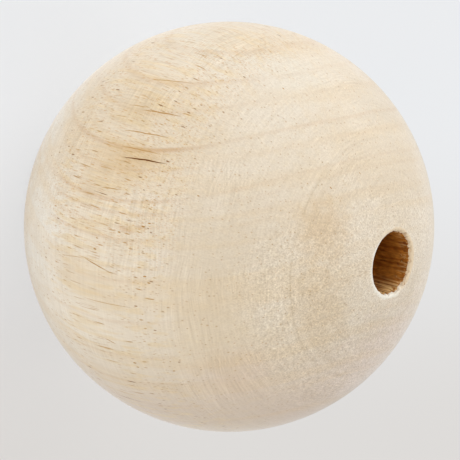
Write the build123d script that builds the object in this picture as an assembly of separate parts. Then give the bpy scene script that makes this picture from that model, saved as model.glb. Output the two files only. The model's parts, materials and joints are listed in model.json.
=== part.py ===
from build123d import *
import os

# A turned wooden bead: a plain ball with one straight hole drilled through it along the grain.
# All sizes are in millimetres. The origin is the centre of the ball and the hole runs along Z,
# so the bead stands on the smooth rim round the hole's lower mouth.

# Sizes of the real bead
bead_diameter = 60.0  # across the ball, square to the hole
bore_diameter = 9.0  # the drilled hole, for a cord or a dowel
rim_radius = 0.5  # rounding of both mouths, where sandpaper and handling wore off the corner


def turned_ball():
    """The ball as it comes off the lathe."""
    return Sphere(bead_diameter / 2)


def drill():
    """The drill's path, clean through the ball and as long as the ball is wide."""
    return Cylinder(bore_diameter / 2, bead_diameter)


def mouth_edges(drilled_ball):
    """The two sharp circles where the wall of the hole meets the ball."""
    wall = drilled_ball.faces().filter_by(GeomType.CYLINDER)
    return wall.edges().filter_by(GeomType.CIRCLE)


def make_bead():
    """The finished bead: turned, drilled through, then rounded over at both mouths."""
    drilled_ball = turned_ball() - drill()
    return fillet(mouth_edges(drilled_ball), rim_radius)


bead = make_bead()
bead.label = "bead"

os.makedirs("parts", exist_ok=True)
export_step(bead, "parts/bead.step")
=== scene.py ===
import bpy
import json
from math import acos, cos, pi, radians, sin, sqrt, tan
from mathutils import Matrix, Vector


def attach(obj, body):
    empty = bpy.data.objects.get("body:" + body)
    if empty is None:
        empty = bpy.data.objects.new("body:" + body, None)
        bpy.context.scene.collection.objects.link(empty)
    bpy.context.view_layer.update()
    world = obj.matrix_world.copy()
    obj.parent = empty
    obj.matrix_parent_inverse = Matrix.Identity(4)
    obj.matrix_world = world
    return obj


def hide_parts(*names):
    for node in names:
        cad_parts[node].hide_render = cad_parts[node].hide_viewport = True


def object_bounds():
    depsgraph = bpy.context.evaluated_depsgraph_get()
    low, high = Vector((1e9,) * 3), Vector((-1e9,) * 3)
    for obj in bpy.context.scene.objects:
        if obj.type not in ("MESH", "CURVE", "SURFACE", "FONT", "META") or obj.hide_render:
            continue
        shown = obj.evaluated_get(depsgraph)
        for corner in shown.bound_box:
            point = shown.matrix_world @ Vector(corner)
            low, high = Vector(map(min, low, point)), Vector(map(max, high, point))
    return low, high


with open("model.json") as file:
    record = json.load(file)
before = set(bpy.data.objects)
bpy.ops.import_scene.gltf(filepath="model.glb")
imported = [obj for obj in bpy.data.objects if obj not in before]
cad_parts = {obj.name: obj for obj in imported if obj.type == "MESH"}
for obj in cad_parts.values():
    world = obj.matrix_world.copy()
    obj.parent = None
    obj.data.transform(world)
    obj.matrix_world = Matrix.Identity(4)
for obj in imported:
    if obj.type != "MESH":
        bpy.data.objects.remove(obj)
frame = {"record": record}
cad_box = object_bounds()

# The bead.
# One piece of pale, open-pored hardwood, turned to a ball on the lathe, sanded and left bare.
# It is drilled through along the grain, and the drill has torn the short grain round both mouths.

mm = 0.001
ball_radius = min(cad_box[1].x, cad_box[1].y, -cad_box[0].x, -cad_box[0].y)
bore_radius = frame["record"]["mounts"][0]["dims"]["r_mm"] * mm
rim_radius = 0.5 * mm  # the rounded edge of both mouths
rim_centre_x = bore_radius + rim_radius
rim_centre_z = sqrt((ball_radius - rim_radius) ** 2 - rim_centre_x**2)
rim_angle = acos(rim_centre_z / (ball_radius - rim_radius))
turning_line_z = 24.5 * mm  # where the tool came off the ball and went on again
turning_line_width = 0.14 * mm
turning_line_depth = 0.035 * mm
tool_side = (-0.8, -0.6, 0)  # the side of the ball where the tool's marks were sanded least
furrow_depth = 0.09 * mm  # along the drilled wall
torn_depth = 0.3 * mm  # round the mouths' edges, on the side where the drill pulled the fibres out
torn_side = (1, 0, 0)
splinter_length = 1.0 * mm
splinter_radius = 0.11 * mm
splinter_sizes = ((0.5, 0.5, 0.4), (1.8, 1.8, 1.0))  # least and most, as shares of radius and length
splinter_roots = (-1.5 * mm, -0.7 * mm)  # height from the middle of the rim's rounding
splinter_leans = (-1.0, -0.2)  # into the hole, for each unit up
splinters_round_a_mouth = 60  # places for them; most stay empty
splinter_share = 0.35  # of the places that are filled on the torn side
steps_round_the_ball = 440
rows_down_the_ball = 150
rows_round_a_rim = 12
rows_down_the_hole = 40
crowding = 0.9  # how much closer the rows lie at the mouths than they would evenly spread


def ball_rows():
    """Angles from the hole's axis down the ball: close together at the mouths and at the tool's line."""
    span = pi - 2 * rim_angle
    angles = []
    for i in range(rows_down_the_ball + 1):
        t = i / rows_down_the_ball
        angles.append(rim_angle + span * (t - crowding * sin(2 * pi * t) / (2 * pi)))
    for step in (-2, -1, -0.5, 0, 0.5, 1, 2):
        angles.append(acos((turning_line_z + step * turning_line_width) / ball_radius))
    return sorted(angles)


def half_section():
    """The wood to one side of the hole: a closed loop of points, (out from the wall, up the hole)."""
    outside = [(ball_radius * sin(a), ball_radius * cos(a)) for a in ball_rows()]
    bend = pi / 2 + rim_angle
    arc = [rim_angle - bend * i / rows_round_a_rim for i in range(1, rows_round_a_rim + 1)]
    rim = [(rim_centre_x + rim_radius * sin(a), rim_centre_z + rim_radius * cos(a)) for a in arc]
    steps = [cos(pi * i / rows_down_the_hole) for i in range(1, rows_down_the_hole)]
    wall = [(bore_radius, rim_centre_z * step) for step in steps]
    lower_rim = [(x, -z) for x, z in rim]
    loop = rim + wall + lower_rim[::-1] + outside[::-1]
    return [(x - bore_radius, z) for x, z in loop]


def wire_object(name, points):
    """An object whose mesh is one closed loop of edges through the points."""
    mesh = bpy.data.meshes.new(name)
    count = len(points)
    edges = [(i, (i + 1) % count) for i in range(count)]
    mesh.from_pydata([(x, -z, 0) for x, z in points], edges, [])
    wire = bpy.data.objects.new(name, mesh)
    bpy.context.collection.objects.link(wire)
    return wire


def feed(tree, socket, value):
    """Joins an output to a socket, or sets the socket to a plain value."""
    if isinstance(value, bpy.types.NodeSocket):
        tree.links.new(value, socket)
    else:
        socket.default_value = value


def add(tree, kind, inputs=None, **settings):
    """A node with its settings and its inputs, which are given by name or by number."""
    node = tree.nodes.new(kind)
    for name, value in settings.items():
        setattr(node, name, value)
    for key, value in (inputs or {}).items():
        feed(tree, node.inputs[key], value)
    return node


def maths(tree, operation, *values):
    """One step of arithmetic on numbers."""
    return add(tree, "ShaderNodeMath", dict(enumerate(values)), operation=operation).outputs[0]


def vectors(tree, operation, *values):
    """One step of arithmetic on vectors. Lengths, distances and dot products come out as numbers."""
    node = add(tree, "ShaderNodeVectorMath", dict(enumerate(values)), operation=operation)
    is_number = operation in ("LENGTH", "DISTANCE", "DOT_PRODUCT")
    return node.outputs["Value" if is_number else "Vector"]


def scaled(tree, vector, amount):
    """A vector made longer or shorter by a number."""
    return add(tree, "ShaderNodeVectorMath", {0: vector, "Scale": amount}, operation="SCALE").outputs[0]


def upright(tree, height):
    """A vector that points up the hole, as long as the height."""
    return add(tree, "ShaderNodeCombineXYZ", {"Z": height}).outputs[0]


def height_of(tree, place):
    """How far a place is above the middle of the ball."""
    return add(tree, "ShaderNodeSeparateXYZ", {0: place}).outputs["Z"]


def fade(tree, value, start, end, to_start=0.0, to_end=1.0):
    """A smooth step: to_start before start, to_end after end."""
    inputs = {"Value": value, "From Min": start, "From Max": end, "To Min": to_start, "To Max": to_end}
    return add(tree, "ShaderNodeMapRange", inputs, interpolation_type="SMOOTHSTEP").outputs["Result"]


def stretched(tree, place, across, along):
    """A place scaled by one number across the hole's axis and by another along it."""
    return vectors(tree, "MULTIPLY", place, (across, across, along))


def noise(tree, place, detail=2.0, roughness=0.5):
    """Smooth noise from 0 to 1, about one wave a unit of place."""
    inputs = {"Vector": place, "Scale": 1.0, "Detail": detail, "Roughness": roughness}
    return add(tree, "ShaderNodeTexNoise", inputs, noise_dimensions="3D").outputs["Fac"]


# Broken wood at the mouths: end of the hole, angle round it in degrees, then height below the rim's
# crest, size and depth in mm.
chips = (
    (1, 62, 0.35, 0.60, 0.50),
    (1, 38, 0.40, 0.42, 0.30),
    (1, 4, 0.30, 0.34, 0.22),
    (1, -40, 0.30, 0.62, 0.42),
    (1, -58, 0.35, 0.45, 0.30),
    (1, 86, 0.25, 0.30, 0.20),
    (1, 22, 0.20, 0.28, 0.24),
    (1, -16, 0.25, 0.34, 0.26),
    (1, -84, 0.30, 0.32, 0.16),
    (-1, 170, 0.40, 0.80, 0.45),
    (-1, 205, 0.30, 0.50, 0.35),
    (-1, 20, 0.35, 0.60, 0.40),
    (-1, -75, 0.30, 0.45, 0.30),
)


def chance(tree, kind, output, seed, limits):
    """A random value for each point, from a fixed seed. The limits are given by socket number."""
    node = add(tree, "FunctionNodeRandomValue", limits, data_type=kind)
    feed(tree, node.inputs["Seed"], seed)
    return node.outputs[output]


def splinters(tree, start, out, height, pulled):
    """Torn fibres that stand from the wall near both mouths, most on the side that was pulled out."""
    ring = {"Vertices": start["Splinters"], "Radius": start["Bore radius"]}
    circle = add(tree, "GeometryNodeMeshCircle", ring)
    places = add(tree, "GeometryNodeJoinGeometry")
    for end in (1, -1):
        move = upright(tree, maths(tree, "MULTIPLY", start["Mouth height"], end))
        moved = add(tree, "GeometryNodeTransform", {"Geometry": circle.outputs[0], "Translation": move})
        tree.links.new(moved.outputs[0], places.inputs[0])
    end = maths(tree, "SIGN", height)
    depth = chance(tree, "FLOAT", 1, start["Seed"], {2: splinter_roots[0], 3: splinter_roots[1]})
    down = upright(tree, maths(tree, "MULTIPLY", end, depth))
    root = vectors(tree, "ADD", scaled(tree, out, 0.1 * mm), down)
    rooted = add(tree, "GeometryNodeSetPosition", {"Geometry": places.outputs[0], "Offset": root})
    lean = chance(tree, "FLOAT", 1, start["Seed"], {2: splinter_leans[0], 3: splinter_leans[1]})
    way = vectors(tree, "ADD", scaled(tree, out, lean), upright(tree, end))
    turn = add(tree, "FunctionNodeAlignRotationToVector", {"Vector": way}, axis="Z").outputs[0]
    limits = {0: splinter_sizes[0], 1: splinter_sizes[1]}
    size = chance(tree, "FLOAT_VECTOR", 0, start["Seed"], limits)
    likely = maths(tree, "MULTIPLY", pulled, splinter_share)
    there = chance(tree, "BOOLEAN", 3, start["Seed"], {6: likely})
    cone = {"Vertices": 5, "Radius Top": 0.0, "Radius Bottom": splinter_radius, "Depth": splinter_length}
    spike = add(tree, "GeometryNodeMeshCone", cone)
    stand = {"Points": rooted.outputs[0], "Instance": spike.outputs[0], "Selection": there}
    return add(tree, "GeometryNodeInstanceOnPoints", stand | {"Rotation": turn, "Scale": size})


def turned_bead():
    """Geometry nodes that turn the half-section about the hole, then break the edges of its mouths."""
    tree = bpy.data.node_groups.new("Turned bead", "GeometryNodeTree")
    face = tree.interface
    face.new_socket("Half section", in_out="INPUT", socket_type="NodeSocketGeometry")
    for label in ("Steps round", "Splinters", "Seed"):
        face.new_socket(label, in_out="INPUT", socket_type="NodeSocketInt")
    for label in ("Bore radius", "Mouth height", "Torn by", "Furrows", "Line height", "Line depth"):
        face.new_socket(label, in_out="INPUT", socket_type="NodeSocketFloat")
    face.new_socket("Sanded", in_out="INPUT", socket_type="NodeSocketMaterial")
    face.new_socket("Drilled", in_out="INPUT", socket_type="NodeSocketMaterial")
    face.new_socket("Bead", in_out="OUTPUT", socket_type="NodeSocketGeometry")
    start = add(tree, "NodeGroupInput").outputs
    outline = add(tree, "GeometryNodeMeshToCurve", {"Mesh": start["Half section"]})
    round_wall = {"Resolution": start["Steps round"], "Radius": start["Bore radius"]}
    path = add(tree, "GeometryNodeCurvePrimitiveCircle", round_wall)
    sweep = {"Curve": path.outputs[0], "Profile Curve": outline.outputs[0]}
    inside_out = add(tree, "GeometryNodeCurveToMesh", sweep)
    swept = add(tree, "GeometryNodeFlipFaces", {"Mesh": inside_out.outputs[0]})

    place = add(tree, "GeometryNodeInputPosition").outputs[0]
    normal = add(tree, "GeometryNodeInputNormal").outputs[0]
    height = height_of(tree, place)
    level = vectors(tree, "MULTIPLY", place, (1, 1, 0))
    out = vectors(tree, "NORMALIZE", level)
    past_wall = maths(tree, "SUBTRACT", vectors(tree, "LENGTH", level), start["Bore radius"])
    past_mouth = maths(tree, "SUBTRACT", maths(tree, "ABSOLUTE", height), start["Mouth height"])
    inwards = maths(tree, "MULTIPLY", maths(tree, "SIGN", height), -0.5)
    into_wood = vectors(tree, "NORMALIZE", vectors(tree, "ADD", out, upright(tree, inwards)))

    # The drill leaves furrows along the grain, which only ever widen the hole. The numbers by which a
    # place is stretched here are waves to the metre, across the grain and along it.
    furrow = fade(tree, noise(tree, stretched(tree, place, 1600, 70), detail=3), 0.45, 0.7)
    on_wall = fade(tree, past_wall, 0.02 * mm, 0.15 * mm, 1, 0)
    widening = maths(tree, "MULTIPLY", maths(tree, "MULTIPLY", furrow, start["Furrows"]), on_wall)
    widened = scaled(tree, out, widening)

    # Short grain breaks away along the mouth's edge.
    square = maths(tree, "ADD", maths(tree, "POWER", past_wall, 2), maths(tree, "POWER", past_mouth, 2))
    near_edge = fade(tree, maths(tree, "SQRT", square), 0.1 * mm, 0.8 * mm, 1, 0)
    teeth = fade(tree, noise(tree, stretched(tree, place, 1900, 500), detail=3), 0.44, 0.62)
    pulled = fade(tree, vectors(tree, "DOT_PRODUCT", out, torn_side), -0.5, 0.4, 0.15, 1)
    torn = maths(tree, "MULTIPLY", maths(tree, "MULTIPLY", teeth, near_edge), pulled)
    lost = maths(tree, "MULTIPLY", torn, start["Torn by"])
    rough = maths(tree, "SUBTRACT", noise(tree, stretched(tree, place, 2500, 2500)), 0.5)
    for end, angle, below, size, depth in chips:
        a = radians(angle)
        crest = rim_centre_z + rim_radius - below * mm
        middle = (bore_radius * cos(a), bore_radius * sin(a), end * crest)
        away = vectors(tree, "DISTANCE", place, middle)
        jagged = maths(tree, "MULTIPLY_ADD", rough, 0.9 * size * mm, away)
        bite = fade(tree, jagged, 0.35 * size * mm, size * mm, depth * mm, 0)
        lost = maths(tree, "MAXIMUM", lost, bite)
    broken = scaled(tree, into_wood, lost)

    # The tool's line is a shallow groove round the ball, all but sanded off on one side.
    from_line = maths(tree, "ABSOLUTE", maths(tree, "SUBTRACT", height, start["Line height"]))
    groove = fade(tree, from_line, 0, turning_line_width, -1, 0)
    groove = maths(tree, "MULTIPLY", groove, start["Line depth"])
    left_on = fade(tree, vectors(tree, "DOT_PRODUCT", out, tool_side), -0.4, 0.4, 0.2, 1)
    groove = maths(tree, "MULTIPLY", groove, left_on)

    shift = vectors(tree, "ADD", vectors(tree, "ADD", broken, widened), scaled(tree, normal, groove))
    shaped = add(tree, "GeometryNodeSetPosition", {"Geometry": swept.outputs[0], "Offset": shift})
    bristling = add(tree, "GeometryNodeJoinGeometry")
    for part in (shaped, splinters(tree, start, out, height, pulled)):
        tree.links.new(part.outputs[0], bristling.inputs[0])
    smooth = add(tree, "GeometryNodeSetShadeSmooth", {"Geometry": bristling.outputs[0]})
    whole = add(tree, "GeometryNodeRealizeInstances", {0: smooth.outputs[0]})
    sanded = {"Geometry": whole.outputs[0], "Material": start["Sanded"]}
    coated = add(tree, "GeometryNodeSetMaterial", sanded)

    # What lies by the wall, below the rim's rounding, was drilled. The rest was turned and sanded.
    by_wall = maths(tree, "LESS_THAN", past_wall, 0.3 * mm)
    below_rim = maths(tree, "LESS_THAN", past_mouth, 0.0)
    inside = maths(tree, "MULTIPLY", by_wall, below_rim)
    drilled = {"Geometry": coated.outputs[0], "Selection": inside, "Material": start["Drilled"]}
    bored = add(tree, "GeometryNodeSetMaterial", drilled)
    add(tree, "NodeGroupOutput", {0: bored.outputs[0]})
    return tree


# The wood, in mm from the middle of the ball. The pith of the tree lies outside the ball, the rings are
# cylinders about it, and the pores and fibres run along the hole.

pith = (7.5, -48.0, 0.0)
ball = ball_radius / mm
bore = bore_radius / mm
inner_grain = tan(radians(-4))  # the grain winds a little about the pith
outer_grain = tan(radians(-7))  # and a little more further out
# The side named next is where both mouths' rims are paler: partly rubbed by handling, partly a painted
# highlight along the edge.
highlit_worn_side = (-0.75, -0.65, 0)  # the side of both mouths that handling has rubbed palest
# The side named next is where the hole's wall is paler: partly fibres that the drill cut clean, partly
# painted light where the lamps above reach into the hole.
lit_clean_side = (-0.3, -0.95, 0)  # the side of the hole's wall that the drill cut clean


def linear(red, green, blue):
    """A colour as a screen shows it, each part from 0 to 255, as linear light with full cover."""
    parts = [c / 255 for c in (red, green, blue)]
    return tuple(c / 12.92 if c <= 0.04045 else ((c + 0.055) / 1.055) ** 2.4 for c in parts) + (1,)


def effect(name, inputs, outputs):
    """An empty group of shader nodes with named inputs and outputs, each a Float, Vector or Color."""
    tree = bpy.data.node_groups.new(name, "ShaderNodeTree")
    for label, kind in inputs.items():
        tree.interface.new_socket(label, in_out="INPUT", socket_type="NodeSocket" + kind)
    for label, kind in outputs.items():
        tree.interface.new_socket(label, in_out="OUTPUT", socket_type="NodeSocket" + kind)
    return tree, add(tree, "NodeGroupInput").outputs, add(tree, "NodeGroupOutput").inputs


def grain_direction():
    """Turns a place so that the grain there runs straight up, and tells how far off the pith is."""
    outputs = {"Along grain": "Vector", "From pith": "Float"}
    tree, given, result = effect("Grain direction", {"Place": "Vector"}, outputs)
    distance = vectors(tree, "DISTANCE", vectors(tree, "MULTIPLY", given["Place"], (1, 1, 0)), pith)
    lean = fade(tree, distance, 58, 67, inner_grain, outer_grain)
    aside = maths(tree, "MULTIPLY", lean, height_of(tree, given["Place"]))
    angle = maths(tree, "DIVIDE", aside, distance)
    turn = {"Vector": given["Place"], "Center": pith, "Angle": angle}
    turned = add(tree, "ShaderNodeVectorRotate", turn, rotation_type="Z_AXIS").outputs[0]
    feed(tree, result["Along grain"], turned)
    wave = noise(tree, stretched(tree, given["Place"], 0.05, 0.02), detail=1)
    wander = maths(tree, "SUBTRACT", wave, 0.5)
    feed(tree, result["From pith"], maths(tree, "MULTIPLY_ADD", wander, 1.6, distance))
    return tree


def growth_ring():
    """One year's end: the wood darkens slowly outwards and stops at a fine edge."""
    inputs = {"From pith": "Float", "Radius": "Float", "Build up": "Float", "Strength": "Float"}
    tree, given, result = effect("Growth ring", inputs, {"Shade": "Float"})
    inside = maths(tree, "SUBTRACT", given["Radius"], given["From pith"])
    build = maths(tree, "POWER", fade(tree, inside, 0, given["Build up"], 1, 0), 3)
    line = fade(tree, maths(tree, "ABSOLUTE", maths(tree, "SUBTRACT", inside, 0.1)), 0.05, 0.4, 0.6, 0)
    shade = maths(tree, "MULTIPLY_ADD", build, 0.4, line)
    shade = maths(tree, "MULTIPLY", shade, fade(tree, inside, -0.25, 0.05))
    feed(tree, result["Shade"], maths(tree, "MULTIPLY", shade, given["Strength"]))
    return tree


def fibres():
    """The bundles of fibre: fine streaks along the grain, and specks where the grain ends."""
    inputs = {"Along grain": "Vector", "Width": "Float", "Length": "Float"}
    tree, given, result = effect("Fibres", inputs, {"Streak": "Float"})
    width = maths(tree, "DIVIDE", 1, given["Width"])
    length = maths(tree, "DIVIDE", 1, given["Length"])
    size = add(tree, "ShaderNodeCombineXYZ", {0: width, 1: width, 2: length}).outputs[0]
    feed(tree, result["Streak"], noise(tree, vectors(tree, "MULTIPLY", given["Along grain"], size)))
    return tree


def pores():
    """Open pores as thin tubes along the grain: dashes where they lie in the surface, else dots."""
    inputs = {"Along grain": "Vector", "Spacing": "Float", "Width": "Float", "Share": "Float"}
    tree, given, result = effect("Pores", inputs, {"Hole": "Float", "Dirt": "Float"})
    bending = {"Vector": stretched(tree, given["Along grain"], 0.2, 0.1), "Scale": 1.0, "Detail": 1.0}
    bend = add(tree, "ShaderNodeTexNoise", bending, noise_dimensions="3D").outputs["Color"]
    bent = vectors(tree, "MULTIPLY_ADD", bend, (1.2, 1.2, 0), given["Along grain"])
    cells = {"Vector": vectors(tree, "DIVIDE", bent, given["Spacing"]), "Scale": 1.0}
    tubes = add(tree, "ShaderNodeTexVoronoi", cells, voronoi_dimensions="2D").outputs
    drawn = add(tree, "ShaderNodeSeparateColor", {0: tubes["Color"]}).outputs
    is_open = maths(tree, "LESS_THAN", drawn[0], given["Share"])
    size = maths(tree, "MULTIPLY_ADD", drawn[1], 0.8, 0.6)
    radius = maths(tree, "MULTIPLY", maths(tree, "DIVIDE", given["Width"], given["Spacing"]), size)
    inner, outer = maths(tree, "MULTIPLY", radius, 0.2), maths(tree, "MULTIPLY", radius, 0.6)
    hole = fade(tree, tubes["Distance"], inner, outer, 1, 0)
    dust = fade(tree, noise(tree, stretched(tree, given["Along grain"], 0.9, 0.35)), 0.40, 0.58)
    hole = maths(tree, "MULTIPLY", maths(tree, "MULTIPLY", hole, is_open), dust)
    feed(tree, result["Hole"], hole)
    feed(tree, result["Dirt"], maths(tree, "MULTIPLY", hole, fade(tree, drawn[2], 0.65, 0.9)))
    return tree


def open_pore():
    """One pore laid open by the sanding, at its own place. The fraying, about 1, varies its width."""
    inputs = {"Place": "Vector", "Middle": "Vector", "Across": "Vector", "Half length": "Float"}
    inputs |= {"Half width": "Float", "Fraying": "Float"}
    tree, given, result = effect("Open pore", inputs, {"Hole": "Float"})
    offset = vectors(tree, "SUBTRACT", given["Place"], given["Middle"])
    aside = maths(tree, "ABSOLUTE", vectors(tree, "DOT_PRODUCT", offset, given["Across"]))
    reach = maths(tree, "DIVIDE", vectors(tree, "LENGTH", offset), given["Half length"])
    taper = maths(tree, "MULTIPLY", fade(tree, reach, 0.2, 1.0, 1, 0), given["Fraying"])
    width = maths(tree, "MULTIPLY", given["Half width"], taper)
    inner = maths(tree, "MULTIPLY", width, 0.3)
    hole = fade(tree, aside, inner, maths(tree, "ADD", width, 0.03), 1, 0)
    feed(tree, result["Hole"], maths(tree, "MULTIPLY", hole, fade(tree, reach, 0.75, 1.0, 1, 0)))
    return tree


def patch():
    """A soft patch of colour in the wood, longest along the grain."""
    inputs = {"Place": "Vector", "Middle": "Vector", "Half length": "Float", "Half width": "Float"}
    inputs |= {"Raggedness": "Float"}
    tree, given, result = effect("Patch", inputs, {"Cover": "Float"})
    offset = vectors(tree, "SUBTRACT", given["Place"], given["Middle"])
    wide = vectors(tree, "LENGTH", vectors(tree, "MULTIPLY", offset, (1, 1, 0)))
    wide = maths(tree, "POWER", maths(tree, "DIVIDE", wide, given["Half width"]), 2)
    high = maths(tree, "DIVIDE", height_of(tree, offset), given["Half length"])
    reach = maths(tree, "SQRT", maths(tree, "MULTIPLY_ADD", high, high, wide))
    reach = maths(tree, "ADD", reach, given["Raggedness"])
    feed(tree, result["Cover"], fade(tree, reach, 0.1, 1.0, 1, 0))
    return tree


def lathe_place():
    """Where a place is for the lathe: which way out from the hole, and how far down the ball."""
    tree, given, result = effect("Lathe place", {"Place": "Vector"}, {"Out": "Vector", "Down": "Float"})
    out = vectors(tree, "NORMALIZE", vectors(tree, "MULTIPLY", given["Place"], (1, 1, 0)))
    height, reach = height_of(tree, given["Place"]), vectors(tree, "LENGTH", given["Place"])
    cosine = maths(tree, "DIVIDE", height, reach)
    feed(tree, result["Out"], out)
    feed(tree, result["Down"], maths(tree, "MULTIPLY", maths(tree, "ARCCOSINE", cosine), ball))
    return tree


def lathe_lines():
    """Fine lines round the ball, as the tool and the sandpaper leave them, as noise from 0 to 1."""
    inputs = {"Out": "Vector", "Down": "Float", "Pitch": "Float", "Breaks": "Float", "Slant": "Float"}
    inputs |= {"Seed": "Float"}
    tree, given, result = effect("Lathe lines", inputs, {"Line": "Float"})
    rise = upright(tree, maths(tree, "MULTIPLY_ADD", given["Down"], 0.08, given["Seed"]))
    bend = noise(tree, vectors(tree, "MULTIPLY_ADD", given["Out"], (1.5, 1.5, 0), rise), detail=1)
    slanted = maths(tree, "MULTIPLY_ADD", bend, given["Slant"], given["Down"])
    row = maths(tree, "ADD", maths(tree, "DIVIDE", slanted, given["Pitch"]), given["Seed"])
    spread = vectors(tree, "ADD", scaled(tree, given["Out"], given["Breaks"]), upright(tree, row))
    feed(tree, result["Line"], noise(tree, spread, detail=1))
    return tree


def tool_circle():
    """A circle round the ball, left by the tool, that comes and goes on its way round."""
    inputs = {"Level": "Float", "Waver": "Float", "Height": "Float", "Half width": "Float"}
    inputs |= {"Strength": "Float"}
    tree, given, result = effect("Tool circle", inputs, {"Tone": "Float"})
    away = maths(tree, "ABSOLUTE", maths(tree, "SUBTRACT", given["Level"], given["Height"]))
    line = fade(tree, away, maths(tree, "MULTIPLY", given["Half width"], 0.3), given["Half width"], 1, 0)
    there = fade(tree, given["Waver"], 0.38, 0.56, 0.5, 1)
    tone = maths(tree, "MULTIPLY", maths(tree, "MULTIPLY", line, there), given["Strength"])
    feed(tree, result["Tone"], tone)
    return tree


def mouth_wear():
    """How worn the wood is by handling: most on the rims of the two mouths, less just outside them. The
    turned outside also uses it to place a painted highlight along the rims.
    """
    tree, given, result = effect("Mouth wear", {"Place": "Vector"}, {"Worn": "Float"})
    from_axis = vectors(tree, "LENGTH", vectors(tree, "MULTIPLY", given["Place"], (1, 1, 0)))
    uneven = maths(tree, "SUBTRACT", noise(tree, stretched(tree, given["Place"], 0.9, 0.9)), 0.5)
    reach = maths(tree, "ADD", from_axis, uneven)
    near = fade(tree, reach, bore + 0.4, bore + 2.2, 1, 0)
    high = fade(tree, maths(tree, "ABSOLUTE", height_of(tree, given["Place"])), ball - 3.0, ball - 1.2)
    feed(tree, result["Worn"], maths(tree, "MULTIPLY", near, high))
    return tree


effect_makers = (
    grain_direction, growth_ring, fibres, pores, open_pore, patch, lathe_place, lathe_lines, tool_circle,
    mouth_wear,
)
effects = {make.__name__: make() for make in effect_makers}


def use(tree, name, **inputs):
    """A copy of an effect in a material. Underscores in the inputs' names stand for spaces."""
    node = add(tree, "ShaderNodeGroup", node_tree=effects[name])
    for label, value in inputs.items():
        feed(tree, node.inputs[label.replace("_", " ").capitalize()], value)
    return node.outputs


def blend_colour(tree, factor, first, second):
    """The first colour turning to the second as factor goes from 0 to 1."""
    node = add(tree, "ShaderNodeMix", data_type="RGBA")
    for index, value in ((0, factor), (6, first), (7, second)):
        feed(tree, node.inputs[index], value)
    return node.outputs[2]


def toned(tree, colour, tone):
    """A colour made paler by a positive tone and darker and warmer by a negative one."""
    gain = vectors(tree, "MULTIPLY_ADD", tone, (0.85, 1.0, 1.2), (1, 1, 1))
    return vectors(tree, "MULTIPLY", colour, gain)


def swing(tree, value, amount):
    """Noise from 0 to 1 turned into a tone that swings as far up as down."""
    return maths(tree, "MULTIPLY", maths(tree, "SUBTRACT", value, 0.5), amount)


def total(tree, values):
    """The sum of several numbers."""
    result = values[0]
    for value in values[1:]:
        result = maths(tree, "ADD", result, value)
    return result


def new_material(name):
    """A material with an empty tree, and the place on the piece that it reads, in mm."""
    material = bpy.data.materials.new(name)
    material.use_nodes = True
    tree = material.node_tree
    tree.nodes.clear()
    place = scaled(tree, add(tree, "ShaderNodeTexCoord").outputs["Object"], 1 / mm)
    return material, tree, place


def finish_material(tree, colour, relief, roughness, **constants):
    """The wood's surface. The relief is in mm, and what is the same all over goes on its own socket."""
    bump = add(tree, "ShaderNodeBump", {"Strength": 1.0, "Distance": mm, "Height": relief}).outputs[0]
    inputs = {"Base Color": colour, "Normal": bump, "Roughness": roughness}
    surface = add(tree, "ShaderNodeBsdfPrincipled", inputs)
    for name, value in constants.items():
        surface.inputs[name.replace("_", " ")].default_value = value
    add(tree, "ShaderNodeOutputMaterial", {"Surface": surface.outputs[0]})


# Year rings: distance from the pith, width over which the wood darkens, and strength.
rings = (
    (21.5, 2.5, 0.20), (27.0, 3.0, 0.22), (32.6, 2.5, 0.16), (38.0, 2.5, 0.18), (43.3, 2.0, 0.18),
    (48.8, 2.0, 0.20), (54.6, 1.8, 0.16), (56.3, 1.2, 0.12), (59.8, 1.6, 0.24), (61.3, 1.0, 0.14),
    (62.75, 1.0, 0.28), (64.1, 1.1, 0.42), (67.3, 1.5, 0.22), (69.3, 1.3, 0.66), (72.6, 1.0, 0.26),
    (74.8, 1.2, 0.36), (77.2, 1.0, 0.24),
)
# Pores that the sanding laid open lengthwise: start, end, width and depth of colour.
long_pores = (
    ((-24.9, 16.8, 0.4), (-23.8, 16.9, 6.9), 0.20, 0.75),
    ((-26.7, 13.7, -1.0), (-25.8, 13.8, 6.8), 0.20, 0.55),
    ((-28.3, 10.1, 0.7), (-27.1, 10.3, 7.9), 0.28, 1.0),
    ((-24.6, 17.1, -2.4), (-24.5, 17.3, 1.5), 0.16, 0.45),
    ((-23.6, 17.4, 6.6), (-23.1, 17.2, 8.2), 0.18, 0.5),
    ((-21.5, 20.7, -2.4), (-20.3, 21.4, 5.3), 0.18, 0.5),
    ((-28.7, -5.3, -7.1), (-29.5, -4.9, -2.6), 0.14, 0.35),
    ((-29.5, -4.9, -2.6), (-29.3, -6.1, 2.3), 0.20, 0.55),
    ((-27.9, -10.7, -3.1), (-27.5, -10.6, 5.8), 0.16, 0.35),
    ((-27.7, 11.5, -0.2), (-27.0, 11.4, 6.5), 0.20, 0.5),
    ((-29.5, 5.4, -1.3), (-29.4, 5.6, 2.1), 0.18, 0.5),
    ((-29.7, 2.6, -3.0), (-29.9, 2.6, -0.5), 0.16, 0.45),
    ((-29.8, 2.6, 2.6), (-29.6, 2.4, 4.1), 0.18, 0.5),
    ((-25.3, -16.1, -0.1), (-24.9, -16.6, 1.7), 0.20, 0.5),
    ((-28.3, -7.7, 6.3), (-28.0, -7.7, 7.5), 0.20, 0.5),
    ((-27.7, -8.8, 7.6), (-27.2, -8.8, 9.2), 0.20, 0.45),
)
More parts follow.
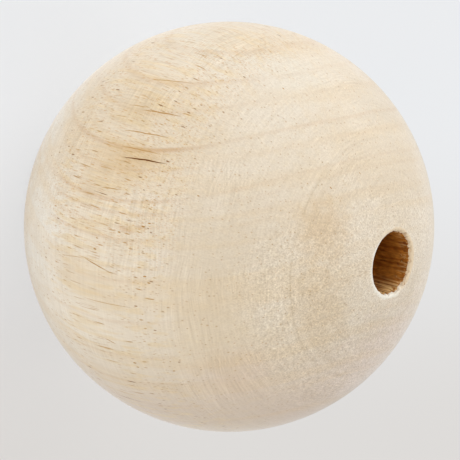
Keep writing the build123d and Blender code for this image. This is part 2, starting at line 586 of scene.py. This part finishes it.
# Pores cut across, which show as dots: place, width and depth of colour.
dots = (
    ((-29.8, -3.3, -0.6), 0.30, 0.8), ((-29.9, -1.7, -0.4), 0.24, 0.6),
    ((-28.4, -5.7, 7.8), 0.28, 0.7), ((-28.0, -6.5, 8.4), 0.28, 0.75),
    ((-22.9, -18.9, 4.0), 0.30, 0.75), ((-22.4, -19.5, 4.2), 0.26, 0.7),
    ((-21.1, -19.0, 9.7), 0.26, 0.65), ((-6.8, 12.4, 26.5), 0.22, 0.5),
    ((-12.0, 10.1, 25.6), 0.24, 0.6), ((-12.6, 22.5, 15.3), 0.22, 0.6),
    ((-26.0, 6.7, 13.3), 0.22, 0.6), ((-29.2, 1.2, 6.9), 0.30, 0.8),
    ((-29.0, 1.8, 7.7), 0.26, 0.75), ((-29.8, -0.2, 3.3), 0.28, 0.65),
)
# Patches of colour: middle, half length, half width, strength, and the colour.
patches = (
    ((-13.0, 22.0, 14.0), 13.0, 14.0, 0.9, (231, 219, 201)),
    ((-12.5, 26.6, 1.0), 10.0, 9.0, 0.8, (229, 218, 199)),
    # The next two pale patches lie along the ball's left edge as the camera sees it: paler wood, and
    # partly painted sheen that stands in for the pale look of wood seen edge-on.
    ((-26.6, -4.0, -14.0), 12.0, 13.0, 1.0, (238, 231, 219)),
    ((-20.0, 12.0, -19.0), 9.0, 9.0, 0.9, (238, 231, 219)),
    ((-28.6, -2.9, 9.0), 5.0, 4.0, 0.7, (232, 219, 200)),
    ((-11.5, -7.0, 26.3), 6.0, 8.0, 0.75, (221, 199, 167)),
    ((-13.5, 4.0, 26.3), 6.0, 7.0, 0.75, (220, 195, 160)),
    ((-17.0, -18.2, 17.1), 9.0, 8.0, 0.7, (225, 203, 182)),
    ((-24.6, 17.1, 0.0), 7.0, 4.2, 0.75, (219, 196, 160)),
    ((-28.0, 10.0, 2.0), 7.5, 3.6, 0.8, (216, 187, 144)),
    ((-29.3, 6.0, -2.0), 6.5, 3.2, 0.6, (221, 197, 161)),
    ((-28.2, -10.4, 0.2), 6.0, 3.0, 0.2, (226, 205, 172)),
    ((-28.9, -5.6, 1.5), 8.0, 4.5, 0.6, (238, 226, 207)),
    ((-22.0, -12.0, 16.0), 11.0, 12.0, 0.55, (224, 203, 170)),
    ((-26.5, -14.0, -4.0), 9.0, 5.0, 0.5, (240, 228, 208)),
    ((-24.0, -15.0, -9.0), 14.0, 10.0, 0.7, (241, 230, 213)),
    ((-9.0, 25.5, 14.0), 9.0, 8.0, 0.6, (232, 222, 204)),
    ((7.0, -14.5, 25.0), 9.0, 15.0, 0.85, (240, 222, 206)),
    ((3.0, 22.0, 20.0), 9.0, 10.0, 0.6, (221, 207, 186)),
    ((-6.0, -27.5, 8.0), 12.0, 11.0, 0.6, (220, 201, 174)),
    ((-29.6, 0.4, 4.2), 2.4, 0.7, 0.6, (205, 162, 108)),
    ((-29.4, 1.0, 6.6), 1.4, 0.5, 0.5, (205, 162, 108)),
)
# Circles left by the tool: height above the middle of the ball, half width, and tone.
tool_circles = (
    (10.5, 0.35, 0.015), (12.2, 0.25, -0.02), (13.3, 0.35, 0.02), (14.3, 0.15, -0.025),
    (17.0, 0.2, -0.025), (18.7, 0.3, 0.015), (21.7, 0.3, -0.02), (23.2, 0.12, 0.04),
    (23.65, 0.12, 0.06), (24.1, 0.16, 0.07), (24.5, 0.12, -0.10), (24.95, 0.14, 0.04),
    (25.5, 0.35, -0.03), (26.8, 0.2, 0.02), (27.2, 0.2, -0.025), (-9.0, 0.3, -0.02),
    (-16.0, 0.3, 0.02), (-22.5, 0.12, 0.04), (-22.9, 0.12, -0.07), (-26.0, 0.3, -0.03),
)
pore_brown = linear(190, 146, 82)  # dust
pore_dark = linear(112, 58, 20)  # dust and finger grease
# The darkest pore colour is partly painted shade: it stands for the shade at the bottom of a split,
# along with dark dirt.
pore_shade_black = linear(88, 32, 8)  # the bottom of a split


def laid_open(tree, place):
    """The pores with places of their own, as how dark they are, from 0 to 1: the split ones, and all."""
    bend = noise(tree, stretched(tree, place, 0.3, 0.5))
    bent = vectors(tree, "ADD", place, vectors(tree, "MULTIPLY_ADD", bend, (0.25,) * 3, (-0.125,) * 3))
    fraying = maths(tree, "ADD", noise(tree, stretched(tree, place, 1.8, 1.1)), 0.5)
    shared = {"place": bent, "fraying": fraying}
    deep = 0.0
    split = 0.0
    for first, last, width, depth in long_pores:
        first, last = Vector(first), Vector(last)
        middle = (first + last).normalized() * ball
        across = (last - first).cross(middle).normalized()
        sizes = {"half_length": (last - first).length * 0.55, "half_width": width / 2}
        pore = use(tree, "open_pore", middle=middle, across=across, **sizes, **shared)
        darkness = maths(tree, "MULTIPLY", pore["Hole"], depth)
        if depth > 0.5:
            split = maths(tree, "MAXIMUM", split, darkness)
        else:
            deep = maths(tree, "MAXIMUM", deep, darkness)
    for middle, width, depth in dots:
        across = Vector((0, 0, 1)).cross(Vector(middle)).normalized()
        sizes = {"half_length": width * 1.1, "half_width": width / 2}
        pore = use(tree, "open_pore", middle=middle, across=across, **sizes, **shared)
        deep = maths(tree, "MAXIMUM", deep, maths(tree, "MULTIPLY", pore["Hole"], depth))
    return split, maths(tree, "MAXIMUM", split, deep)


def cream_wood(tree, place, along, from_pith, flat_grain):
    """Broad colour: cream, with warmer stretches along the grain, and pinker towards the pith."""
    cloud = fade(tree, noise(tree, stretched(tree, along, 0.11, 0.03), detail=3), 0.35, 0.65)
    colour = blend_colour(tree, cloud, linear(233, 219, 198), linear(228, 212, 188))
    near_pith = fade(tree, from_pith, 22, 45, 0.9, 0)
    colour = blend_colour(tree, near_pith, colour, linear(216, 194, 174))
    ragged = maths(tree, "SUBTRACT", noise(tree, stretched(tree, place, 0.6, 0.2), detail=3), 0.5)
    for middle, half_length, half_width, strength, shade in patches:
        sizes = {"half_length": half_length, "half_width": half_width, "raggedness": ragged}
        cover = use(tree, "patch", place=place, middle=middle, **sizes)["Cover"]
        cover = maths(tree, "MULTIPLY", cover, strength)
        colour = blend_colour(tree, cover, colour, linear(*shade))

    # Yellower strands among the fibres, and yellower bands that follow the years.
    strand = use(tree, "fibres", along_grain=along, width=0.9, length=9)["Streak"]
    clear = fade(tree, flat_grain, 0, 1, 0.1, 0.5)
    yellow = maths(tree, "MULTIPLY", fade(tree, strand, 0.48, 0.66), clear)
    colour = blend_colour(tree, yellow, colour, linear(230, 206, 162))
    years = upright(tree, maths(tree, "MULTIPLY", from_pith, 0.42))
    drift = vectors(tree, "MULTIPLY_ADD", place, (0.02, 0.02, 0.05), years)
    band = fade(tree, noise(tree, drift), 0.48, 0.66, 0, 0.22)
    return blend_colour(tree, band, colour, linear(226, 198, 154))


def year_rings(tree, place, from_pith, flat_grain):
    """The shade of all the year rings, clearest where the surface runs along the grain."""
    ring_shade = 0.0
    for radius, build_up, strength in rings:
        sizes = {"radius": radius, "build_up": build_up, "strength": strength}
        shade = use(tree, "growth_ring", from_pith=from_pith, **sizes)["Shade"]
        ring_shade = maths(tree, "MAXIMUM", ring_shade, shade)
    uneven = fade(tree, noise(tree, stretched(tree, place, 0.15, 0.1)), 0.3, 0.7, 0.5, 1)
    clear = maths(tree, "MULTIPLY", uneven, fade(tree, flat_grain, 0, 1, 0.3, 1))
    return maths(tree, "MULTIPLY", ring_shade, clear)


def tool_marks(tree, place, lathe_at):
    """The tone of all the circles left by the tool, clearest on one side of the ball."""
    rise = upright(tree, maths(tree, "MULTIPLY", lathe_at["Down"], 0.3))
    waver = noise(tree, vectors(tree, "MULTIPLY_ADD", lathe_at["Out"], (2.5, 2.5, 0), rise))
    level = maths(tree, "ADD", height_of(tree, place), swing(tree, waver, 0.15))
    marks = 0.0
    for height, half_width, strength in tool_circles:
        sizes = {"height": height, "half_width": half_width, "strength": strength}
        circle = use(tree, "tool_circle", level=level, waver=waver, **sizes)["Tone"]
        marks = maths(tree, "ADD", marks, circle)
    facing = vectors(tree, "DOT_PRODUCT", lathe_at["Out"], tool_side)
    return maths(tree, "MULTIPLY", marks, fade(tree, facing, -0.4, 0.4, 0.35, 1))


def sanded_wood():
    """The turned outside: cream wood, fine rings, brown pores, and marks of tool and sandpaper."""
    material, tree, place = new_material("Sanded wood")
    grain = use(tree, "grain_direction", place=place)
    along, from_pith = grain["Along grain"], grain["From pith"]
    latitude = maths(tree, "ABSOLUTE", height_of(tree, place))
    flat_grain = fade(tree, latitude, 6, 15, 1, 0)  # 1 where the surface runs along the grain
    end_grain = fade(tree, latitude, 15, 25)  # 1 where it cuts across the grain
    outer = fade(tree, from_pith, 52, 62)  # 1 in the wood furthest from the pith
    colour = cream_wood(tree, place, along, from_pith, flat_grain)
    ring_shade = year_rings(tree, place, from_pith, flat_grain)
    colour = blend_colour(tree, ring_shade, colour, linear(200, 158, 108))

    # Fibres, and the specks of cut fibre on the end grain.
    fibre = use(tree, "fibres", along_grain=along, width=0.20, length=5)["Streak"]
    bundle = use(tree, "fibres", along_grain=along, width=0.75, length=16)["Streak"]
    fleck = use(tree, "fibres", along_grain=along, width=0.23, length=1.2)["Streak"]
    cut_end = maths(tree, "MULTIPLY", end_grain, fade(tree, outer, 0, 1, 1, 0.35))
    pale_fleck = maths(tree, "MULTIPLY", fade(tree, fleck, 0.5, 0.66), cut_end)
    coarse = maths(tree, "SUBTRACT", 0.75, maths(tree, "MULTIPLY", outer, 0.42))
    plain = maths(tree, "MULTIPLY_ADD", outer, 0.20, 0.19)
    contrast = fade(tree, end_grain, 0, 1, plain, coarse)

    # Lines round the ball from the lathe, and slanting scratches from the sandpaper.
    lathe_at = use(tree, "lathe_place", place=place)
    lathe = {"out": lathe_at["Out"], "down": lathe_at["Down"]}
    turned = use(tree, "lathe_lines", **lathe, pitch=0.36, breaks=2.2, slant=0.0, seed=3)["Line"]
    beaded = use(tree, "lathe_lines", **lathe, pitch=0.42, breaks=32, slant=0.4, seed=8)["Line"]
    rising = use(tree, "lathe_lines", **lathe, pitch=0.2, breaks=4, slant=8, seed=21)["Line"]
    falling = use(tree, "lathe_lines", **lathe, pitch=0.2, breaks=4, slant=-8, seed=40)["Line"]
    scratched = fade(tree, noise(tree, scaled(tree, place, 0.09)), 0.42, 0.6)
    scratch = maths(tree, "MULTIPLY", maths(tree, "SUBTRACT", rising, falling), scratched)
    tone = total(tree, [
        swing(tree, fibre, contrast),
        swing(tree, bundle, 0.06),
        swing(tree, turned, 0.13),
        swing(tree, beaded, fade(tree, cut_end, 0, 1, 0.05, 0.40)),
        maths(tree, "MULTIPLY", pale_fleck, 0.16),
        maths(tree, "MULTIPLY", scratch, 0.24),
    ])

    # The tool's circles come after that sum, not in it. The renderer holds few values at once, and a
    # material that needs too many turns black.
    tone = maths(tree, "ADD", tone, tool_marks(tree, place, lathe_at))
    worn = use(tree, "mouth_wear", place=place)["Worn"]
    colour = toned(tree, colour, maths(tree, "MULTIPLY_ADD", worn, 0.06, tone))

    # The rims of the mouths, paler on one side: partly wear from handling, partly a painted highlight
    # along the edge.
    facing = vectors(tree, "DOT_PRODUCT", lathe_at["Out"], highlit_worn_side)
    worn_and_highlit = fade(tree, facing, -0.4, 0.5)
    rim_wear_and_highlight = blend_colour(tree, worn_and_highlit, linear(240, 216, 180), linear(253, 248, 234))
    colour = blend_colour(tree, fade(tree, worn, 0.85, 1.0, 0, 0.85), colour, rim_wear_and_highlight)

    # Pores, which hold dust and finger grease and so look brown.
    wide = use(tree, "pores", along_grain=along, spacing=0.7, width=0.18, share=0.7)
    dirt = maths(tree, "MULTIPLY", wide["Dirt"], fade(tree, flat_grain, 0, 1, 0.15, 0.7))
    beside = vectors(tree, "ADD", along, (31, 17, 0))
    fine = use(tree, "pores", along_grain=beside, spacing=0.36, width=0.11, share=0.75)["Hole"]
    wide = maths(tree, "MULTIPLY", wide["Hole"], fade(tree, flat_grain, 0, 1, 0.5, 0.8))
    fine = maths(tree, "MULTIPLY", fine, fade(tree, flat_grain, 0, 1, 0.15, 0.6))
    hole = maths(tree, "MAXIMUM", wide, fine)
    split, deep = laid_open(tree, place)
    dash = use(tree, "fibres", along_grain=beside, width=0.15, length=1.5)["Streak"]
    long_grain = fade(tree, latitude, 9, 15, 1, 0)
    dashed = maths(tree, "MULTIPLY", outer, long_grain)
    dash = maths(tree, "MULTIPLY", fade(tree, dash, 0.59, 0.68), dashed)
    colour = blend_colour(tree, maths(tree, "MULTIPLY", dash, 0.7), colour, linear(208, 163, 104))
    colour = blend_colour(tree, hole, colour, pore_brown)
    colour = blend_colour(tree, dirt, colour, pore_dark)
    colour = blend_colour(tree, fade(tree, deep, 0, 0.6), colour, pore_brown)
    # The middles of the deepest pores turn almost black: partly painted shade in the split.
    colour = blend_colour(tree, fade(tree, deep, 0.7, 1), colour, pore_shade_black)

    relief = total(tree, [
        swing(tree, fibre, 0.03),
        swing(tree, turned, 0.012),
        maths(tree, "MULTIPLY", scratch, 0.008),
        maths(tree, "MULTIPLY", hole, -0.02),
        maths(tree, "MULTIPLY", split, -0.04),
    ])
    open_wood = maths(tree, "MAXIMUM", hole, deep)
    roughness = total(tree, [
        swing(tree, fibre, 0.3),
        maths(tree, "MULTIPLY_ADD", open_wood, 0.2, 0.72),
        maths(tree, "MULTIPLY", worn, -0.14),
        maths(tree, "MULTIPLY", end_grain, 0.06),
    ])
    constants = {"Specular_IOR_Level": 0.4, "Sheen_Weight": 0.6, "Sheen_Roughness": 0.35}
    finish_material(tree, colour, relief, roughness, **constants)
    return material


def drilled_wood():
    """The wall of the hole: rough, browned by the drill's heat, and streaked along the grain."""
    material, tree, place = new_material("Drilled wood")
    along = use(tree, "grain_direction", place=place)["Along grain"]
    fibre = use(tree, "fibres", along_grain=along, width=0.3, length=7)["Streak"]
    coarse = use(tree, "fibres", along_grain=along, width=1.3, length=22)["Streak"]
    streak = fade(tree, maths(tree, "ADD", fibre, swing(tree, coarse, 0.6)), 0.25, 0.75)
    colour = blend_colour(tree, streak, linear(152, 88, 28), linear(190, 126, 50))
    mottle = noise(tree, stretched(tree, place, 1.9, 1.1), detail=3)
    colour = toned(tree, colour, swing(tree, mottle, 1.7))

    # Where the drill cut clean, the fibres are still pale. This is also the side of the wall that the
    # lamps above light through the mouth, so its paleness is partly painted light.
    out = use(tree, "lathe_place", place=place)["Out"]
    clean_and_lit = fade(tree, vectors(tree, "DOT_PRODUCT", out, lit_clean_side), 0.2, 0.8)
    cut = maths(tree, "MULTIPLY", clean_and_lit, fade(tree, fibre, 0.38, 0.6, 0.1, 1))
    colour = blend_colour(tree, cut, colour, linear(250, 212, 146))

    # Scorched spots, pores, torn wood by the mouths, and the splinters that stand from the wall.
    spots = noise(tree, stretched(tree, place, 0.9, 0.5), detail=3)
    scorched = maths(tree, "MULTIPLY", fade(tree, spots, 0.62, 0.7), 0.6)
    colour = blend_colour(tree, scorched, colour, linear(90, 34, 20))
    hole = use(tree, "pores", along_grain=along, spacing=0.75, width=0.2, share=0.6)["Hole"]
    # The wall's pores are darkened towards the same colour: partly painted shade inside them.
    colour = blend_colour(tree, maths(tree, "MULTIPLY", hole, 0.5), colour, pore_shade_black)
    worn = use(tree, "mouth_wear", place=place)["Worn"]
    torn = maths(tree, "MULTIPLY", worn, fade(tree, fibre, 0.5, 0.6))
    colour = blend_colour(tree, maths(tree, "MULTIPLY", torn, 0.4), colour, linear(214, 182, 136))
    from_axis = vectors(tree, "LENGTH", vectors(tree, "MULTIPLY", place, (1, 1, 0)))
    proud = fade(tree, from_axis, bore - 0.12, bore - 0.02, 1, 0)
    colour = blend_colour(tree, proud, colour, linear(228, 182, 116))

    relief = maths(tree, "ADD", swing(tree, fibre, 0.07), maths(tree, "MULTIPLY", hole, -0.06))
    roughness = maths(tree, "ADD", 0.8, swing(tree, fibre, 0.3))
    finish_material(tree, colour, relief, roughness, Specular_IOR_Level=0.1)
    return material


wire = wire_object("bead_section", half_section())
modifier = wire.modifiers.new("Turned bead", "NODES")
modifier.node_group = turned_bead()
settings = {
    "Steps round": steps_round_the_ball, "Splinters": splinters_round_a_mouth, "Seed": 7,
    "Bore radius": bore_radius, "Mouth height": rim_centre_z,
    "Torn by": torn_depth, "Furrows": furrow_depth, "Line height": turning_line_z,
    "Line depth": turning_line_depth, "Sanded": sanded_wood(), "Drilled": drilled_wood(),
}
for item in modifier.node_group.interface.items_tree:
    if item.name in settings:
        modifier[item.identifier] = settings[item.name]
mesh = bpy.data.meshes.new_from_object(wire.evaluated_get(bpy.context.evaluated_depsgraph_get()))
mesh.name = "turned_bead"
bead = bpy.data.objects.new("turned_bead", mesh)
bpy.context.collection.objects.link(bead)
bpy.data.objects.remove(wire)
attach(bead, "root")
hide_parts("bead")

# The stage: floor, light and camera.
# A pale floor at the bead's foot, and four large soft lamps round the bead in an even white room.
# The camera is turned so that the hole lies to the right, as in the photograph.

camera_right = Vector((0.6028, 0.1401, 0.7855))
camera_up = Vector((0, 0.9845, -0.1756))
camera_back = camera_right.cross(camera_up).normalized()
camera_distance = 600 * mm
view_centre = camera_right * 0.127 * mm - camera_up * 0.476 * mm
focal_length = 320.8  # for a sensor 36 mm wide

foot = cad_box[0].z
floor_reach = 3.0  # metres each way
floor_mesh = bpy.data.meshes.new("floor")
corners = [(x * floor_reach, y * floor_reach, foot) for x, y in ((-1, -1), (1, -1), (1, 1), (-1, 1))]
floor_mesh.from_pydata(corners, [], [(0, 1, 2, 3)])
floor = bpy.data.objects.new("floor", floor_mesh)
bpy.context.collection.objects.link(floor)


def pale_floor():
    """A matt pale grey. Away from the bead's foot the camera sees most of it as plain light, with
    painted shade that darkens it towards the bottom of the picture.
    """
    material = bpy.data.materials.new("Pale floor")
    material.use_nodes = True
    tree = material.node_tree
    tree.nodes.clear()
    matt = add(tree, "ShaderNodeBsdfDiffuse", {"Color": linear(244, 244, 243)})
    place = add(tree, "ShaderNodeTexCoord").outputs["Object"]
    across = add(tree, "ShaderNodeSeparateXYZ", {0: place}).outputs["Y"]
    # Painted shade: the plain light darkens from the middle of the picture to its bottom.
    painted_shade_gradient = fade(tree, across, -45 * mm, 15 * mm)  # from the bottom of the picture to its middle
    light = blend_colour(tree, painted_shade_gradient, linear(220, 217, 214), linear(237, 239, 242))
    glow = add(tree, "ShaderNodeEmission", {"Color": light, "Strength": 1.0})
    seen = add(tree, "ShaderNodeLightPath").outputs["Is Camera Ray"]
    from_foot = vectors(tree, "DISTANCE", place, (0, 0, foot))
    plain = fade(tree, from_foot, 5 * mm, 13 * mm, 0.25, 0.78)  # the share that is plain light
    both = add(tree, "ShaderNodeMixShader", {0: maths(tree, "MULTIPLY", seen, plain)})
    tree.links.new(matt.outputs[0], both.inputs[1])
    tree.links.new(glow.outputs[0], both.inputs[2])
    add(tree, "ShaderNodeOutputMaterial", {"Surface": both.outputs[0]})
    return material


floor_mesh.materials.append(pale_floor())

camera = bpy.data.objects.new("camera", bpy.data.cameras.new("camera"))
bpy.context.collection.objects.link(camera)
camera.data.lens = focal_length
camera.data.sensor_width = 36
camera.data.clip_start = 0.01
turn = Matrix((camera_right, camera_up, camera_back)).transposed().to_4x4()
camera.matrix_world = Matrix.Translation(view_centre + camera_back * camera_distance) @ turn
bpy.context.scene.camera = camera


lamp_distance = 1.0  # metres from the middle of the bead


def lamp(name, direction, size, power):
    """A square soft lamp that faces the bead from a direction. Its size is in metres."""
    light = bpy.data.lights.new(name, "AREA")
    light.shape = "SQUARE"
    light.size = size
    light.energy = power
    holder = bpy.data.objects.new(name, light)
    bpy.context.collection.objects.link(holder)
    towards = direction.normalized()
    holder.location = towards * lamp_distance
    holder.rotation_mode = "QUATERNION"
    holder.rotation_quaternion = towards.to_track_quat("Z", "Y")


lamp("window", camera_right * 0.62 + camera_up * 0.72 - camera_back * 0.1, size=0.7, power=3.4)
lamp("ceiling", camera_right * 0.3 + camera_up * 0.9 + camera_back * 0.1, size=0.7, power=2.2)
lamp("fill", camera_back * 0.85 - camera_right * 0.5 - camera_up * 0.04, size=0.7, power=4.8)
lamp("side", camera_right * 0.95 - camera_up * 0.25 + camera_back * 0.1, size=0.5, power=1.6)

world = bpy.data.worlds.new("studio")
bpy.context.scene.world = world
world.use_nodes = True
room = world.node_tree.nodes["Background"].inputs
room["Color"].default_value = (1, 1, 1, 1)
room["Strength"].default_value = 0.55

bpy.context.scene.view_settings.view_transform = "Standard"
